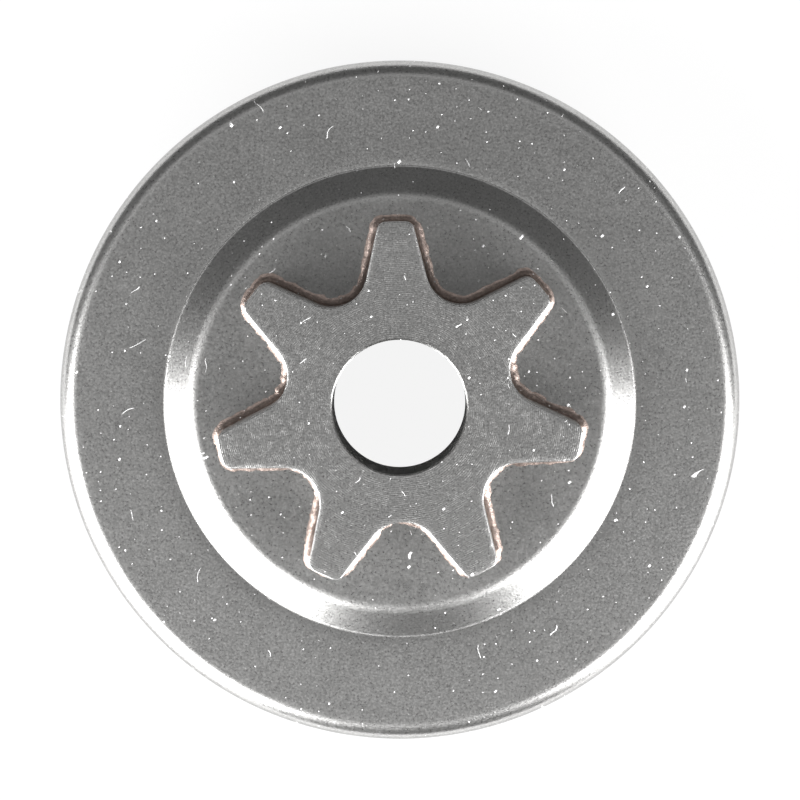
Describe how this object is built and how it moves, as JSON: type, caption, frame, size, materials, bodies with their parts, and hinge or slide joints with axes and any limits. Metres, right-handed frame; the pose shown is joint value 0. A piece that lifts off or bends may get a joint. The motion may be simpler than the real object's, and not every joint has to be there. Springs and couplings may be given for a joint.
{
  "type": "chainsaw spur sprocket",
  "caption": "Chainsaw clutch drum with a spur star brazed on its raised centre: the clutch rubs inside the cup, the chain runs on the star.",
  "frame": {"origin": "on the drum's axis, in the plane of its open rim", "axes": "+Z along the bore, from the open rim towards the star's face; +Y through the middle of one tooth; +X to the right when the star is looked at from outside"},
  "size_m": [0.0675, 0.0674, 0.0286],
  "materials": {
    "drum_steel": "dull grey, as furnace-brazed and tumbled",
    "star_steel": "ground face with fine turning marks, tumbled edges",
    "braze_copper": "dull brown copper, rippled"
  },
  "bodies": {
    "root": {"clutch_drum": "drum_steel", "spur_star": "star_steel", "star_braze": "braze_copper", "hub_braze": "braze_copper"}
  },
  "joints": []
}
